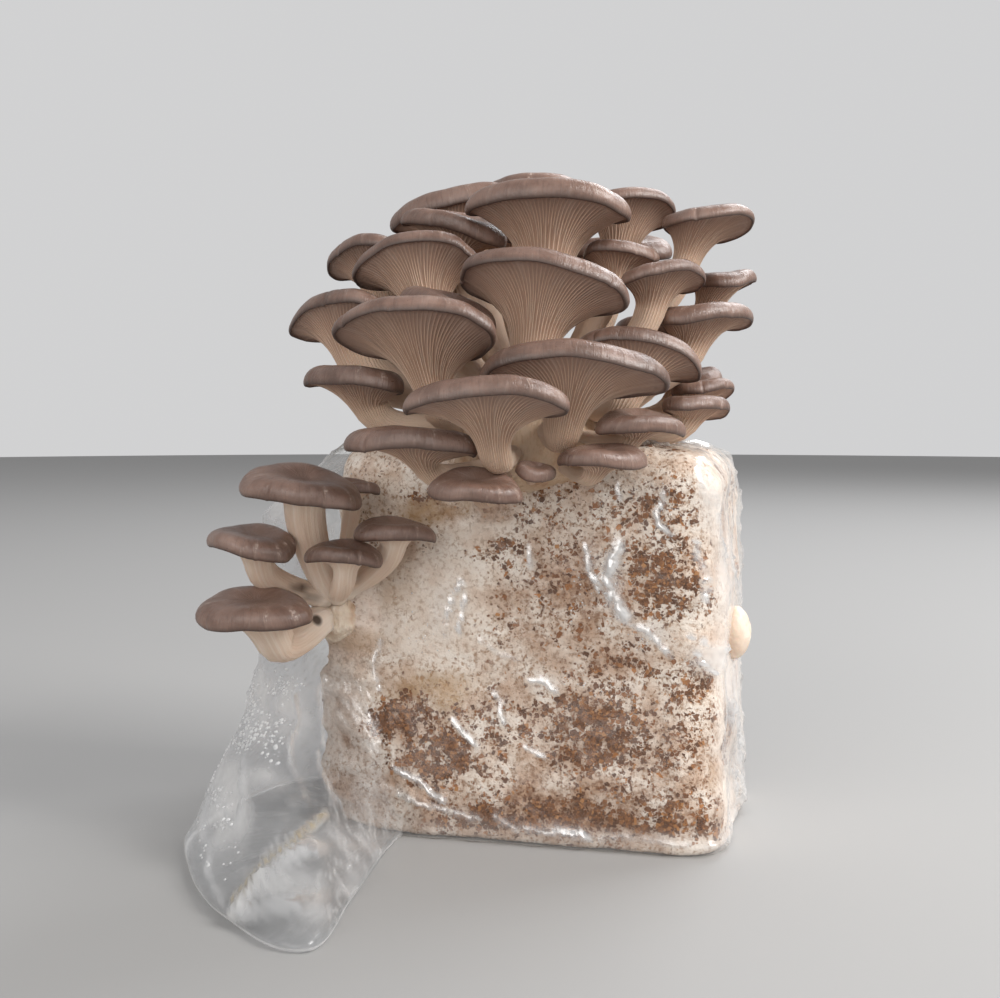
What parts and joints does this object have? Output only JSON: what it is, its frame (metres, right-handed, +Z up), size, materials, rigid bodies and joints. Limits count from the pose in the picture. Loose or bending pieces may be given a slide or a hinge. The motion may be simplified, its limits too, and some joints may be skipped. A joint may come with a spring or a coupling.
{
  "type": "mushroom grow kit",
  "caption": "Oyster mushroom grow kit: a colonised sawdust block in a clear film bag, with a large brown cluster fruiting over its top edge and a small one at its side.",
  "frame": {"origin": "centre of the block's footprint on the flat underside of the bag", "axes": "+Z up, the block's wide front face looks along -Y, its right-hand end along +X, and the bag's loose tail lies to the front left"},
  "size_m": [0.269, 0.3107, 0.3444],
  "materials": {
    "clear_film": "clear polypropylene film, crumpled, glossy, beaded with condensation inside the loose tail",
    "colonised_sawdust": "white mycelium web over brown sawdust, mottled, matte and slightly damp",
    "fused_base": "creamy fused stem tissue, fibrous, matte",
    "mushroom_flesh": "brown-grey satin cap with fine radial fibres, pale ribbed gills and creamy stem",
    "young_pin": "smooth pale orange-cream young growth, matte",
    "water_droplets": "clear water beads on the film"
  },
  "bodies": {
    "root": {"grow_bag": "clear_film", "main_cluster_base": "fused_base", "mushroom_back_left": "mushroom_flesh", "mushroom_back_lower_left": "mushroom_flesh", "mushroom_back_lower_middle": "mushroom_flesh", "mushroom_back_lower_right": "mushroom_flesh", "mushroom_back_middle_left": "mushroom_flesh", "mushroom_back_middle_right": "mushroom_flesh", "mushroom_back_top_left": "mushroom_flesh", "mushroom_back_top_middle": "mushroom_flesh", "mushroom_back_top_right": "mushroom_flesh", "mushroom_button_front": "mushroom_flesh", "mushroom_centre": "mushroom_flesh", "mushroom_centre_tucked": "mushroom_flesh", "mushroom_far_right": "mushroom_flesh", "mushroom_front": "mushroom_flesh", "mushroom_front_right": "mushroom_flesh", "mushroom_left": "mushroom_flesh", "mushroom_left_back": "mushroom_flesh", "mushroom_lower_left": "mushroom_flesh", "mushroom_lower_left_back": "mushroom_flesh", "mushroom_lower_right": "mushroom_flesh", "mushroom_lower_right_back": "mushroom_flesh", "mushroom_lower_right_front": "mushroom_flesh", "mushroom_lower_right_outer": "mushroom_flesh", "mushroom_lowest_front": "mushroom_flesh", "mushroom_right": "mushroom_flesh", "mushroom_right_back": "mushroom_flesh", "mushroom_top_back": "mushroom_flesh", "mushroom_top_centre": "mushroom_flesh", "mushroom_top_left": "mushroom_flesh", "mushroom_top_left_back": "mushroom_flesh", "mushroom_top_right": "mushroom_flesh", "mushroom_top_right_back": "mushroom_flesh", "mushroom_upper_left": "mushroom_flesh", "mushroom_upper_left_back": "mushroom_flesh", "mushroom_upper_right": "mushroom_flesh", "mushroom_upper_right_inner": "mushroom_flesh", "right_end_pin": "young_pin", "side_cluster_base": "fused_base", "side_mushroom_lowest": "mushroom_flesh", "side_mushroom_middle": "mushroom_flesh", "side_mushroom_right": "mushroom_flesh", "side_mushroom_top": "mushroom_flesh", "side_mushroom_top_back": "mushroom_flesh", "side_mushroom_upper_left": "mushroom_flesh", "substrate_block": "colonised_sawdust"}
  },
  "joints": []
}
